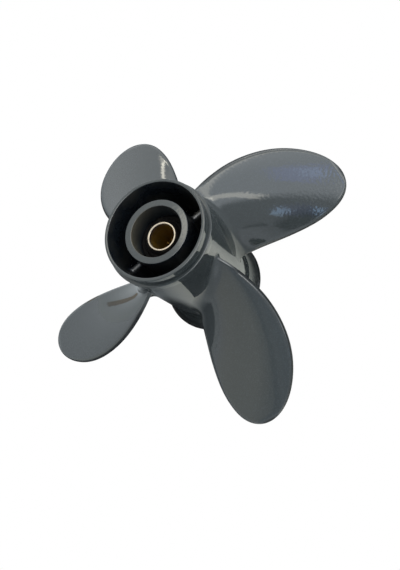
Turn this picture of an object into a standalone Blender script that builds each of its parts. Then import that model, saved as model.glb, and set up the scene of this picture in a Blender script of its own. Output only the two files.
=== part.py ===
"""Four-blade right-hand propeller of the through-hub-exhaust kind used on outboard motors.

The metal is one casting: an outer barrel with a lip, a bead and a flared rear end, an inner
hub carried in it by four ribs, and four helical blades. A rubber bush sits in the inner hub
and a brass sleeve with internal splines sits in the bush.

Metres, +Z along the shaft towards the motor. The rear end of the flare stands on z = 0.
"""

import math

import bmesh
import bpy
from mathutils import Vector

# Overall sizes
BLADE_COUNT = 4
TIP_RADIUS = 0.160
HUB_LENGTH = 0.1524

# Outer barrel, radii from the axis
BARREL_RADIUS = 0.0443
DUCT_RADIUS = 0.0401
RIM_RADIUS = 0.0428
LIP_RADIUS = 0.0430
BEAD_RADIUS = 0.0453
FLARE_RADIUS = 0.0533

# Lengths along the barrel, from its front rim backwards
LIP_LENGTH = 0.0086
BEAD_LENGTH = 0.0072
FLARE_LENGTH = 0.0199

# Walls and roundings of the barrel
FLARE_WALL = 0.0028
RIM_ROUND = 0.0011
BEAD_ROUND = 0.0017
FLARE_ROUND = 0.0012
EDGE_ROUND = 0.0004

# Inner hub and the ribs that carry it
HUB_OUTER_RADIUS = 0.0271
HUB_BORE_RADIUS = 0.02175
HUB_RECESS = 0.0055
HUB_REAR = 0.036
RIB_COUNT = 4
RIB_ANGLE = math.radians(36)
RIB_THICKNESS = 0.0060
RIB_RECESS = 0.026
RIB_REAR = 0.047
RIB_SINK = 0.0018

# Rubber bush, with a nose round the sleeve and a shoulder behind it
SEAT_GAP = 0.0003
BUSH_RECESS = 0.0240
BUSH_NOSE_RECESS = 0.0170
BUSH_NOSE_RADIUS = 0.0136
BUSH_SHOULDER_RECESS = 0.0208
BUSH_SHOULDER_RADIUS = 0.0170
BUSH_REAR = 0.041
BUSH_ROUND = 0.0025

# Brass sleeve
SLEEVE_RADIUS = 0.0126
SLEEVE_BORE_RADIUS = 0.01093
SLEEVE_RECESS = 0.0162
SLEEVE_REAR = 0.034
SPLINE_COUNT = 13
SPLINE_ROOT_RADIUS = 0.0108
SPLINE_TIP_RADIUS = 0.0096
SPLINE_DEPTH = 0.030

# Blades: pitch, rake and where they stand on the barrel
BLADE_ANGLE = math.radians(30)
ROOT_RADIUS = 0.0402
PITCH = 0.379
PITCH_WASHOUT = 0.098
BLADE_HEIGHT = 0.0789
RAKE_CURVE = 0.55

# Blades: outline, at shares of the span from the root to the tip
HALF_CHORDS = (0.0401, 0.0415, 0.0445, 0.0462, 0.0458, 0.0457)
HALF_CHORD_PLACES = (0.0, 0.2, 0.45, 0.7, 0.88, 1.0)
SKEWS = (0.0095, 0.0096, 0.0065, -0.0004, -0.0115)
SKEW_PLACES = (0.0, 0.25, 0.5, 0.75, 1.0)
TIP_ROUNDNESS = 3.9

# Blades: thickness, how much of it swells the front face, and the fillets on the barrel
ROOT_THICKNESS = 0.0095
TIP_THICKNESS = 0.0032
EDGE_THICKNESS = 0.0018
FRONT_SHARE = 0.9
FACE_FILLET = 0.0095
FRONT_EDGE_FILLET = 0.0034
REAR_EDGE_FILLET = 0.0060

# Fineness
TURN_STEPS = 56
FLARE_STEPS = 6
CHORD_STEPS = 10
SPAN_PLACES = (0.0, 0.02, 0.04, 0.07, 0.1, 0.15, 0.22, 0.32, 0.44, 0.56, 0.67, 0.77, 0.85, 0.91, 0.955, 0.985, 1.0)
TIP_END = 0.9985
SHARP_ANGLE = math.radians(35)
MERGE_DISTANCE = 0.00001


def clear_scene():
    for obj in list(bpy.data.objects):
        bpy.data.objects.remove(obj, do_unlink=True)


def new_collection(name):
    collection = bpy.data.collections.new(name)
    bpy.context.scene.collection.children.link(collection)
    return collection


def new_material(name, color, metallic, roughness):
    material = bpy.data.materials.new(name)
    material.use_nodes = True
    shader = material.node_tree.nodes["Principled BSDF"]
    shader.inputs["Base Color"].default_value = (*color, 1.0)
    shader.inputs["Metallic"].default_value = metallic
    shader.inputs["Roughness"].default_value = roughness
    return material


def add_object(name, mesh, collection, material):
    obj = bpy.data.objects.new(name, mesh)
    collection.objects.link(obj)
    mesh.materials.append(material)
    return obj


def mesh_from(bm, name):
    mesh = bpy.data.meshes.new(name)
    bm.to_mesh(mesh)
    bm.free()
    return mesh


def hide_helper(obj):
    obj.hide_render = True
    obj.display_type = "WIRE"


def turned(name, profile, collection, material):
    """A solid of revolution from a closed (radius, height) profile, outer side first, downwards."""
    bm = bmesh.new()
    points = [bm.verts.new((radius, 0.0, height)) for radius, height in profile]
    for first, second in zip(points, points[1:] + points[:1]):
        bm.edges.new((first, second))
    obj = add_object(name, mesh_from(bm, name), collection, material)
    screw = obj.modifiers.new("Turn", "SCREW")
    screw.axis = "Z"
    screw.angle = 2 * math.pi
    screw.steps = TURN_STEPS
    screw.render_steps = TURN_STEPS
    screw.use_merge_vertices = True
    screw.merge_threshold = MERGE_DISTANCE
    return obj


def arc(centre_radius, centre_height, radius, start, end, steps):
    """Points of a circular arc in a profile, angles in degrees from the outward direction."""
    points = []
    for i in range(steps + 1):
        angle = math.radians(start + (end - start) * i / steps)
        points.append((centre_radius + radius * math.cos(angle), centre_height + radius * math.sin(angle)))
    return points


def bead_profile():
    """The raised ring behind the lip: a round front edge and a back that runs out into the barrel."""
    start = HUB_LENGTH - LIP_LENGTH
    points = arc(BEAD_RADIUS - BEAD_ROUND, start - BEAD_ROUND, BEAD_ROUND, 90, 0, 3)
    slope_start = start - BEAD_LENGTH * 0.4
    slope_end = start - BEAD_LENGTH
    for t in (0.0, 0.35, 0.65, 1.0):
        drop = (BEAD_RADIUS - BARREL_RADIUS) * t * t * (3 - 2 * t)
        points.append((BEAD_RADIUS - drop, slope_start + (slope_end - slope_start) * t))
    return points


def flare_profile():
    """The flare's outer side and its inner side: arcs about one centre, tangent to the barrel."""
    spread = FLARE_RADIUS - BARREL_RADIUS
    sweep = 2 * math.atan2(spread, FLARE_LENGTH)
    bend = FLARE_LENGTH / math.sin(sweep)
    barrel_wall = BARREL_RADIUS - DUCT_RADIUS
    outside = []
    inside = []
    for i in range(FLARE_STEPS + 1):
        t = i / FLARE_STEPS
        angle = sweep * t
        radius = BARREL_RADIUS + bend * (1 - math.cos(angle))
        height = FLARE_LENGTH - bend * math.sin(angle)
        wall = barrel_wall + (FLARE_WALL - barrel_wall) * t
        outside.append((radius, height))
        inside.append((radius - wall * math.cos(angle), max(height - wall * math.sin(angle), 0.0)))
    outside = [point for point in outside if point[1] > FLARE_ROUND * 1.5]
    inside = [point for point in inside if point[1] > 0.0]
    last_radius, last_height = inside[-1]
    foot = (last_radius + last_height / math.tan(math.pi / 2 - sweep), 0.0)
    edge = arc(FLARE_RADIUS - FLARE_ROUND, FLARE_ROUND, FLARE_ROUND, 30, -90, 4)
    return outside + edge, [foot] + inside[::-1]


def barrel_profile():
    top = HUB_LENGTH
    rim = arc(RIM_RADIUS - RIM_ROUND, top - RIM_ROUND, RIM_ROUND, 90, 0, 3)
    lip = [(LIP_RADIUS, top - LIP_LENGTH)]
    outside, inside = flare_profile()
    duct = [(DUCT_RADIUS, top - EDGE_ROUND), (DUCT_RADIUS + EDGE_ROUND, top)]
    return rim + lip + bead_profile() + outside + inside + duct


def inner_hub_profile():
    top = HUB_LENGTH - HUB_RECESS
    return [
        (HUB_OUTER_RADIUS - EDGE_ROUND, top),
        (HUB_OUTER_RADIUS, top - EDGE_ROUND),
        (HUB_OUTER_RADIUS, HUB_REAR + EDGE_ROUND),
        (HUB_OUTER_RADIUS - EDGE_ROUND, HUB_REAR),
        (HUB_BORE_RADIUS + EDGE_ROUND, HUB_REAR),
        (HUB_BORE_RADIUS, HUB_REAR + EDGE_ROUND),
        (HUB_BORE_RADIUS, top - EDGE_ROUND),
        (HUB_BORE_RADIUS + EDGE_ROUND, top),
    ]


def rib(name, angle, collection, material):
    """One web between the inner hub and the barrel, sunk a little into both walls."""
    inner = HUB_OUTER_RADIUS - RIB_SINK
    outer = DUCT_RADIUS + RIB_SINK
    top = HUB_LENGTH - RIB_RECESS
    bpy.ops.mesh.primitive_cube_add(size=1)
    obj = bpy.context.object
    obj.name = name
    size = (outer - inner, RIB_THICKNESS, top - RIB_REAR)
    for vertex in obj.data.vertices:
        vertex.co = Vector(part * length for part, length in zip(vertex.co, size))
    middle = (inner + outer) / 2
    obj.location = (middle * math.cos(angle), middle * math.sin(angle), (top + RIB_REAR) / 2)
    obj.rotation_euler.z = angle
    obj.data.materials.append(material)
    for other in list(obj.users_collection):
        other.objects.unlink(obj)
    collection.objects.link(obj)
    bevel = obj.modifiers.new("Round", "BEVEL")
    bevel.width = RIB_THICKNESS * 0.45
    bevel.segments = 3
    return obj


def smooth_table(place, places, values):
    """Value at a place along the blade, by a cubic through the nearest table points."""
    last = len(places) - 1
    i = max(j for j in range(last) if places[j] <= place or j == 0)

    def slope(j):
        low = max(j - 1, 0)
        high = min(j + 1, last)
        return (values[high] - values[low]) / (places[high] - places[low])

    width = places[i + 1] - places[i]
    t = (place - places[i]) / width
    start = values[i] * (1 + 2 * t) * (1 - t) ** 2 + slope(i) * width * t * (1 - t) ** 2
    end = values[i + 1] * t * t * (3 - 2 * t) + slope(i + 1) * width * t * t * (t - 1)
    return start + end


def fillet_swell(radius, fillet):
    """How far a round fillet pushes a section out where it meets the barrel."""
    rise = max(radius - BARREL_RADIUS, 0.0)
    if rise >= fillet:
        return 0.0
    return fillet - math.sqrt(fillet**2 - (fillet - rise) ** 2)


def blade_point(radius, along, off, angle):
    """A point of the blade: along its helical section, and off it towards the front."""
    pitch = PITCH - PITCH_WASHOUT * (radius - ROOT_RADIUS) / (TIP_RADIUS - ROOT_RADIUS)
    slope = math.atan2(pitch, 2 * math.pi * radius)
    out = radius - ROOT_RADIUS
    turn = angle + (along * math.cos(slope) - off * math.sin(slope)) / radius
    height = BLADE_HEIGHT + along * math.sin(slope) + off * math.cos(slope)
    height -= RAKE_CURVE * out**2
    return (radius * math.cos(turn), radius * math.sin(turn), height)


def blade_section(place, angle):
    """The closed section at a place along the span: its front side, rear edge first, and its back."""
    start = (BARREL_RADIUS + DUCT_RADIUS) / 2
    radius = start + (TIP_RADIUS - start) * place
    span = (radius - ROOT_RADIUS) / (TIP_RADIUS - ROOT_RADIUS)
    rounding = math.sqrt(max(1 - min(span, TIP_END) ** TIP_ROUNDNESS, 0.0))
    half = smooth_table(span, HALF_CHORD_PLACES, HALF_CHORDS) * rounding
    skew = smooth_table(span, SKEW_PLACES, SKEWS)
    thickest = ROOT_THICKNESS + (TIP_THICKNESS - ROOT_THICKNESS) * span**0.8
    swell = fillet_swell(radius, FACE_FILLET)
    front_half = half + fillet_swell(radius, FRONT_EDGE_FILLET)
    rear_half = half + fillet_swell(radius, REAR_EDGE_FILLET)
    front = []
    back = []
    for i in range(CHORD_STEPS + 1):
        across = -math.cos(math.pi * i / CHORD_STEPS)
        crown = math.sqrt(max(1 - across**2, 0.0))
        body = (thickest - EDGE_THICKNESS) * (1 - across**2) * rounding
        rounded = EDGE_THICKNESS / 2 * crown**0.5 + swell * crown
        along = skew + across * (front_half if across > 0 else rear_half)
        front.append(blade_point(radius, along, rounded + body * FRONT_SHARE, angle))
        back.append(blade_point(radius, along, -rounded - body * (1 - FRONT_SHARE), angle))
    return front, back


def blade(name, angle, collection, material):
    """A loft through the blade's sections, closed at the root, inside the barrel's wall, and at the tip."""
    bm = bmesh.new()
    rows = []
    for place in SPAN_PLACES:
        front, back = blade_section(place, angle)
        front_row = [bm.verts.new(point) for point in front]
        middle = [bm.verts.new(point) for point in back[1:-1]]
        back_row = [front_row[0]] + middle + [front_row[-1]]
        rows.append((front_row, back_row))
    for (front, back), (next_front, next_back) in zip(rows, rows[1:]):
        for i in range(CHORD_STEPS):
            bm.faces.new((front[i], front[i + 1], next_front[i + 1], next_front[i]))
            bm.faces.new((back[i + 1], back[i], next_back[i], next_back[i + 1]))
    for front, back in (rows[0], rows[-1]):
        for i in range(CHORD_STEPS):
            corners = [front[i], front[i + 1], back[i + 1], back[i]]
            bm.faces.new(list(dict.fromkeys(corners)))
    bmesh.ops.recalc_face_normals(bm, faces=bm.faces)
    return add_object(name, mesh_from(bm, name), collection, material)


def bush_profile():
    top = HUB_LENGTH - BUSH_RECESS
    outer = HUB_BORE_RADIUS - SEAT_GAP
    inner = SLEEVE_RADIUS + SEAT_GAP
    return [
        (BUSH_NOSE_RADIUS, HUB_LENGTH - BUSH_NOSE_RECESS),
        (BUSH_SHOULDER_RADIUS, HUB_LENGTH - BUSH_SHOULDER_RECESS),
        (BUSH_SHOULDER_RADIUS + BUSH_ROUND * 0.2, top),
        (outer, top),
        (outer, BUSH_REAR + BUSH_ROUND),
        (outer - BUSH_ROUND, BUSH_REAR),
        (inner, BUSH_REAR),
        (inner, HUB_LENGTH - BUSH_NOSE_RECESS),
    ]


def sleeve_profile():
    top = HUB_LENGTH - SLEEVE_RECESS
    spline_start = top - SPLINE_DEPTH
    return [
        (SLEEVE_RADIUS - EDGE_ROUND, top),
        (SLEEVE_RADIUS, top - EDGE_ROUND),
        (SLEEVE_RADIUS, SLEEVE_REAR + EDGE_ROUND),
        (SLEEVE_RADIUS - EDGE_ROUND, SLEEVE_REAR),
        (SPLINE_TIP_RADIUS, SLEEVE_REAR),
        (SPLINE_TIP_RADIUS, spline_start),
        (SLEEVE_BORE_RADIUS, spline_start + SLEEVE_BORE_RADIUS - SPLINE_TIP_RADIUS),
        (SLEEVE_BORE_RADIUS, top),
    ]


def spline_cutter(collection, material):
    """A prism whose lobes cut the spline grooves into the sleeve's bore."""
    bm = bmesh.new()
    outline = []
    tooth = 2 * math.pi / SPLINE_COUNT
    shape = ((0.0, 0.8), (0.25, 0.8), (0.3, 1.0), (0.7, 1.0), (0.75, 0.8))
    for i in range(SPLINE_COUNT):
        for part, reach in shape:
            angle = (i + part) * tooth
            radius = SPLINE_ROOT_RADIUS * reach
            outline.append(bm.verts.new((radius * math.cos(angle), radius * math.sin(angle), 0.0)))
    face = bm.faces.new(outline)
    grown = bmesh.ops.extrude_face_region(bm, geom=[face])
    top = [item for item in grown["geom"] if isinstance(item, bmesh.types.BMVert)]
    bmesh.ops.translate(bm, verts=top, vec=(0.0, 0.0, HUB_LENGTH))
    bmesh.ops.recalc_face_normals(bm, faces=bm.faces)
    obj = add_object("spline_cutter", mesh_from(bm, "spline_cutter"), collection, material)
    hide_helper(obj)
    return obj


def combine(target, other, operation):
    boolean = target.modifiers.new(f"{operation} {other.name}", "BOOLEAN")
    boolean.operation = operation
    boolean.object = other


def bake(obj):
    """Replaces the object's mesh by its evaluated one, shaded smooth up to its sharp edges."""
    graph = bpy.context.evaluated_depsgraph_get()
    mesh = bpy.data.meshes.new_from_object(obj.evaluated_get(graph))
    obj.modifiers.clear()
    obj.data = mesh
    mesh.shade_smooth()
    mesh.set_sharp_from_angle(angle=SHARP_ANGLE)


def build_casting(parts, helpers, paint):
    casting = turned("casting", barrel_profile(), parts, paint)
    pieces = [turned("inner_hub_helper", inner_hub_profile(), helpers, paint)]
    for i in range(RIB_COUNT):
        angle = RIB_ANGLE + i * 2 * math.pi / RIB_COUNT
        pieces.append(rib(f"rib_helper_{i + 1}", angle, helpers, paint))
    for i in range(BLADE_COUNT):
        angle = BLADE_ANGLE + i * 2 * math.pi / BLADE_COUNT
        pieces.append(blade(f"blade_helper_{i + 1}", angle, helpers, paint))
    for piece in pieces:
        hide_helper(piece)
        combine(casting, piece, "UNION")
    bake(casting)


def build_bush(parts, rubber):
    bush = turned("rubber_bush", bush_profile(), parts, rubber)
    bake(bush)


def build_sleeve(parts, helpers, brass):
    sleeve = turned("brass_sleeve", sleeve_profile(), parts, brass)
    cutter = spline_cutter(helpers, brass)
    combine(sleeve, cutter, "DIFFERENCE")
    bake(sleeve)


def main():
    clear_scene()
    parts = new_collection("propeller")
    helpers = new_collection("helpers")
    paint = new_material("grey_enamel", (0.10, 0.11, 0.115), 0.2, 0.28)
    rubber = new_material("black_rubber", (0.012, 0.012, 0.013), 0.0, 0.6)
    brass = new_material("brass", (0.55, 0.42, 0.20), 1.0, 0.3)
    build_casting(parts, helpers, paint)
    build_bush(parts, rubber)
    build_sleeve(parts, helpers, brass)


main()
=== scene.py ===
"""Finish of a four-blade outboard motor propeller: grey enamel casting, rubber bush and brass sleeve.

Laid out as a Blender add-on and run as a script. Metres, +Z along the shaft towards the motor.
"""

import math

import bmesh
import bpy
from mathutils import Matrix, Vector


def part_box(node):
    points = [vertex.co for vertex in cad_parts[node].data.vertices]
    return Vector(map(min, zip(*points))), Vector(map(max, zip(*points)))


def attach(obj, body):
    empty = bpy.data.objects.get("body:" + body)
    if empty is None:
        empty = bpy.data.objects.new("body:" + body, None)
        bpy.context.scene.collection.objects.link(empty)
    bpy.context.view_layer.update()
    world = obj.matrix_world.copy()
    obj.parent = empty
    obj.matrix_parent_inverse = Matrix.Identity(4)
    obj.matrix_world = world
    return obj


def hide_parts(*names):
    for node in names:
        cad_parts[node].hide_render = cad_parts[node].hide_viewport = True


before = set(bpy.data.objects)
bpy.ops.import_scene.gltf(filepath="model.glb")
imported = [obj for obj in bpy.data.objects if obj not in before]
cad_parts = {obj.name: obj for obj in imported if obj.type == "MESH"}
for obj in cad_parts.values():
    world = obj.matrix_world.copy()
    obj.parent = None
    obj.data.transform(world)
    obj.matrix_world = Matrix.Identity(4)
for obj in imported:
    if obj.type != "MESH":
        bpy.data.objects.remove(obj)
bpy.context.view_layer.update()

bl_info = {
    "name": "Outboard Propeller Finish",
    "version": (1, 0, 0),
    "blender": (4, 5, 0),
    "location": "View3D > Sidebar > Propeller",
    "description": "Models and paints a through-hub-exhaust propeller around its packed solids",
    "category": "Object",
}

BODY = "root"
MM = 0.001

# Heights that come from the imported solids
RIM_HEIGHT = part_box("casting")[1].z
BUSH_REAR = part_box("rubber_bush")[0].z
SLEEVE_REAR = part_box("brass_sleeve")[0].z
SLEEVE_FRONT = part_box("brass_sleeve")[1].z


def length(name, description, millimetres):
    """A size property in metres, given in millimetres."""
    return bpy.props.FloatProperty(
        name=name, description=description, default=millimetres * MM, unit="LENGTH", precision=5
    )


def colour(name, description, default):
    """A colour property, as an sRGB hex value."""
    return bpy.props.StringProperty(name=name, description=description, default=default, maxlen=7)


def strength(name, description, value):
    """A brightness property of the studio's light."""
    return bpy.props.FloatProperty(name=name, description=description, default=value, min=0.0)


class BarrelSizes(bpy.types.PropertyGroup):
    barrel_radius: length("Barrel radius", "Outside of the straight barrel", 44.3)
    duct_radius: length("Duct radius", "Inside of the barrel's wall", 40.1)
    rim_radius: length("Rim radius", "Outside of the front rim", 42.8)
    rim_round: length("Rim rounding", "Rounding of the rim's outer edge", 0.5)
    lip_radius: length("Lip radius", "Outside of the lip where it meets the bead", 43.0)
    lip_length: length("Lip length", "From the rim to the bead", 8.6)
    bead_radius: length("Bead radius", "Outside of the raised ring", 45.3)
    bead_length: length("Bead length", "Width of the raised ring", 7.2)
    bead_round: length("Bead rounding", "Rounding of the bead's front edge", 0.6)
    flare_radius: length("Flare radius", "Outside of the rear end", 53.3)
    flare_length: length("Flare length", "From the straight barrel to the rear end", 19.9)
    flare_wall: length("Flare wall", "Thickness of the rear end", 2.8)
    flare_round: length("Flare rounding", "Rounding of the rear edge", 1.2)
    edge_round: length("Edge rounding", "Rounding of the machined edges", 0.3)


class InnerHubSizes(bpy.types.PropertyGroup):
    outer_radius: length("Outer radius", "Outside of the inner hub", 27.1)
    bore_radius: length("Bore radius", "Bore that takes the rubber bush", 21.75)
    recess: length("Recess", "Front face of the inner hub below the rim", 5.5)
    rear: length("Rear height", "Rear face of the inner hub above the floor", 36.0)
    rib_thickness: length("Rib thickness", "Thickness of the four ribs", 6.0)
    rib_recess: length("Rib recess", "Front edge of the ribs below the rim", 26.0)
    rib_rear: length("Rib rear", "Rear edge of the ribs above the floor", 47.0)
    rib_fillet: length("Rib fillet", "Rounding where a rib meets a wall", 2.5)


class BladeSizes(bpy.types.PropertyGroup):
    tip_radius: length("Tip radius", "Radius of the blade circle", 159.8)
    root_radius: length("Root radius", "Radius that the blade's tables start from", 40.2)
    pitch: length("Pitch", "Advance of the root in one turn", 379.0)
    pitch_washout: length("Pitch washout", "How much less the pitch is at the tip", 98.0)
    height: length("Height", "Height of the blade's root line above the floor", 78.9)
    root_thickness: length("Root thickness", "Thickness at the root", 9.5)
    tip_thickness: length("Tip thickness", "Thickness at the tip", 3.2)
    edge_thickness: length("Edge thickness", "Thickness of the rounded edges", 2.6)
    face_fillet: length("Face fillet", "Rounding from the barrel to the blade's faces", 9.5)
    front_fillet: length("Front edge fillet", "Rounding at the leading edge's root", 3.4)
    rear_fillet: length("Rear edge fillet", "Rounding at the trailing edge's root", 6.0)


class BushSizes(bpy.types.PropertyGroup):
    nose_radius: length("Nose radius", "Rubber lip round the sleeve", 13.6)
    nose_recess: length("Nose recess", "Front of the lip below the rim", 17.0)
    shoulder_radius: length("Shoulder radius", "Outside of the shoulder behind the lip", 17.3)
    shoulder_recess: length("Shoulder recess", "Front of the shoulder below the rim", 19.6)
    groove_recess: length("Groove recess", "Bottom of the groove between shoulder and hub", 24.1)
    seat_gap: length("Seat gap", "Gap to the hub and to the sleeve", 0.3)
    rear_round: length("Rear rounding", "Rounding of the rear edge", 2.5)


class SleeveSizes(bpy.types.PropertyGroup):
    radius: length("Radius", "Outside of the sleeve", 12.6)
    bore_radius: length("Bore radius", "Smooth bore ahead of the splines", 10.93)
    root_radius: length("Spline root radius", "Bottom of the grooves", 10.8)
    tip_radius: length("Spline tip radius", "Crest of the teeth", 9.6)
    spline_depth: length("Spline depth", "From the front face to the splines", 30.0)
    chamfer: length("Chamfer", "Chamfer of the turned edges", 0.35)


class FinishColours(bpy.types.PropertyGroup):
    enamel: colour("Enamel", "Body colour of the grey enamel", "#232728")
    enamel_light: colour("Enamel, light", "Lighter drift in the enamel", "#272b2b")
    flake: colour("Flake", "Aluminium flake in the enamel", "#8b98a6")
    # Painted shade: dark colour along the blades' edges and over the flare's outer half
    painted_edge_shade: colour("Worn edge", "Handled and scuffed blade edges", "#1a1c1d")
    # Painted shade: near-black for the deep duct, the bore's depth and the contact shadow under the
    # flare
    painted_deep_shade: colour("Duct", "Black paint inside the barrel", "#0f1317")
    # Brown-grey of the hub's bore where its painted light falls; also thin patches in the duct and dust
    # on the rubber
    bore: colour("Hub bore", "Thin brown-grey overspray in the hub's bore", "#3f3c33")
    rubber: colour("Rubber", "Moulded rubber", "#070606")
    brass: colour("Brass", "Turned brass", "#a3998a")
    tarnish: colour("Tarnish", "Dull brass in the bore", "#9c7a20")
    table: colour("Table", "Studio table", "#9fa3a5")
    # Painted light: a pool of light on the table on the lamps' side, and a paler far end
    painted_light_pool: colour("Bounce card", "White card on the lamps' side", "#f4f4e8")
    # Painted shadow of the propeller on the table, on the side away from the lamps
    cloth: colour("Cloth", "Dark cloth on the shadow side", "#3c4147")
    # Painted shadow: a dark strip on the table that darkens a line in one blade's reflection
    painted_shadow_strip: colour("Bar", "Dark bar that shades one blade", "#746859")


class StudioLight(bpy.types.PropertyGroup):
    ambient: strength("Ambient", "Brightness of the whole dome", 0.95)
    key: strength("Key", "Large softbox on the right", 1.9)
    side: strength("Side", "Broad soft lamps round the table", 1.0)
    overhead: strength("Overhead", "Soft round lamp high above", 10.6)
    strip: strength("Strip", "Narrow lamps on the far side", 11.0)
    band: strength("Band", "Warm edges of the large softbox", 3.1)
    accent: strength("Accent", "Small bluish lamps beside the camera", 2.6)
    flag: strength("Flag", "Light that the dark flags take away", 0.5)


BLADE_COUNT = 4
BLADE_ANGLE = math.radians(30)
# Drop of the blade in metres for each square metre outwards
RAKE_CURVE = 0.55
# Share of the section's fullness that lies on its front face
FRONT_SHARE = 0.9
# Power of the thinning: the section thins a little faster near the root
THINNING = 0.8
# Half width and sweep of the blade, in metres, at shares of its span
HALF_CHORDS = (0.0401, 0.0415, 0.0445, 0.0462, 0.0458, 0.0457)
HALF_CHORD_PLACES = (0.0, 0.2, 0.45, 0.7, 0.88, 1.0)
SKEWS = (0.0095, 0.0096, 0.0065, -0.0004, -0.0115)
SKEW_PLACES = (0.0, 0.25, 0.5, 0.75, 1.0)
# Power that rounds the outline off at the tip: a higher one is blunter
TIP_ROUNDNESS = 3.9

RIB_COUNT = 4
RIB_ANGLE = math.radians(36)
SPLINE_COUNT = 13
STEPS_PER_SPLINE = 16

# Steps of a full turn on the barrel, and on the smaller rounds inside it
BARREL_STEPS = 192
INNER_STEPS = 128
SMOOTH_ANGLE = math.radians(40)
MERGE_DISTANCE = 0.002 * MM

# The painted dark shade line along a blade's edge, and the coat that rolls over before it
DARK_EDGE_WIDTH = 2.0 * MM
DARK_EDGE_SOFTNESS = 0.6
ROLL_WIDTH = 6.0 * MM
ROLL_DEPTH = 1.5 * MM
# Share of the span where both begin, and the share over which they come in
EDGE_START = 0.12
EDGE_FADE = 0.08

# Places of the casting's paints in its list of materials
ENAMEL, DUCT_PAINTED_SHADE, BORE_PAINTED_SHADE = range(3)

# A wave texture's bands are pi / 10 units apart at a scale of 1
WAVE_PERIOD = math.pi / 10

# The camera, as fitted to the photo's rims and blade edges
LENS_MM = 26.675
SENSOR_MM = 36
CAMERA_RIGHT = Vector((0.9424, 0.0034, -0.3346))
CAMERA_BACK = Vector((0.3220, -0.2814, 0.9040)).normalized()
CAMERA_PLACE = Vector((0.1361, -0.1342, RIM_HEIGHT + 0.2721))

# Stage
FLOOR_RADIUS = 6.0
BACKDROP_RADIUS = 8.0
BAR_SIZE = (0.42, 0.034, 0.004)
BAR_TAPER = 0.4
BAR_PLACE = (-0.34, 0.168, 0.002)
BAR_TURN = math.radians(141)

# Tints of the studio's light
NEUTRAL = (1.0, 1.0, 0.98)
COOL = (0.93, 1.0, 1.07)
WARM = (1.0, 0.95, 0.8)
AMBER = (1.0, 0.8, 0.25)
BLUE = (0.5, 0.78, 1.1)
VIOLET = (0.0, 0.1, 1.0)


def linear(code):
    """Linear red, green and blue of an sRGB hex value, with full alpha."""
    parts = [int(code[i:i + 2], 16) / 255 for i in (1, 3, 5)]
    parts = [c / 12.92 if c <= 0.04045 else ((c + 0.055) / 1.055) ** 2.4 for c in parts]
    return (*parts, 1.0)


def object_from(bm, name):
    """An object at the origin with the bmesh as its mesh."""
    mesh = bpy.data.meshes.new(name)
    bm.to_mesh(mesh)
    bm.free()
    obj = bpy.data.objects.new(name, mesh)
    bpy.context.scene.collection.objects.link(obj)
    return obj


def clean(bm):
    """Merges doubles and then turns the faces outwards."""
    bmesh.ops.remove_doubles(bm, verts=bm.verts, dist=MERGE_DISTANCE)
    bmesh.ops.recalc_face_normals(bm, faces=bm.faces)


def piece_from(bm, name, materials, replaced):
    """Makes a finished piece of the object from a bmesh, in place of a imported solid."""
    clean(bm)
    obj = object_from(bm, name)
    for material in materials:
        obj.data.materials.append(material)
    obj.data.shade_smooth()
    obj.data.set_sharp_from_angle(angle=SMOOTH_ANGLE)
    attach(obj, BODY)
    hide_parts(replaced)


def arc(centre_radius, centre_height, radius, start, end, steps):
    """Points of a circular arc in a profile, angles in degrees from the outward direction."""
    points = []
    for i in range(steps + 1):
        angle = math.radians(start + (end - start) * i / steps)
        out = centre_radius + radius * math.cos(angle)
        points.append((out, centre_height + radius * math.sin(angle)))
    return points


def line(start, end, steps):
    """Evenly spaced points between two profile points, without the end."""
    (r0, z0), (r1, z1) = start, end
    return [(r0 + (r1 - r0) * i / steps, z0 + (z1 - z0) * i / steps) for i in range(steps)]


def turn(bm, profile, steps):
    """Spins a closed profile round the shaft axis."""
    verts = [bm.verts.new((radius, 0.0, height)) for radius, height in profile]
    edges = [bm.edges.new(pair) for pair in zip(verts, verts[1:] + verts[:1])]
    bmesh.ops.spin(
        bm,
        geom=verts + edges,
        axis=(0, 0, 1),
        cent=(0, 0, 0),
        angle=2 * math.pi,
        steps=steps,
        use_merge=True,
    )


def barrel_profile(s):
    """Outer side from the rim down to the flare, then the inner side back up."""
    top = RIM_HEIGHT
    points = arc(s.rim_radius - s.rim_round, top - s.rim_round, s.rim_round, 90, 0, 6)
    lip_end = (s.lip_radius, top - s.lip_length)
    points += line(points[-1], lip_end, 4)[1:] + [lip_end]
    points += arc(s.bead_radius - s.bead_round, lip_end[1] - s.bead_round, s.bead_round, 90, 0, 8)
    slope_start = lip_end[1] - s.bead_length * 0.8
    slope_end = lip_end[1] - s.bead_length
    slope_steps = 10
    for i in range(slope_steps + 1):
        t = i / slope_steps
        drop = (s.bead_radius - s.barrel_radius) * t * t * (3 - 2 * t)
        points.append((s.bead_radius - drop, slope_start + (slope_end - slope_start) * t))
    outside, inside = flare_profile(s)
    points += line(points[-1], outside[0], 40)[1:] + outside + inside
    duct_end = (s.duct_radius, top - s.edge_round)
    points += line(points[-1], duct_end, 30)[1:]
    points += [duct_end, (s.duct_radius + s.edge_round * 0.3, top - s.edge_round * 0.3)]
    return points + [(s.duct_radius + s.edge_round, top)]


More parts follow.
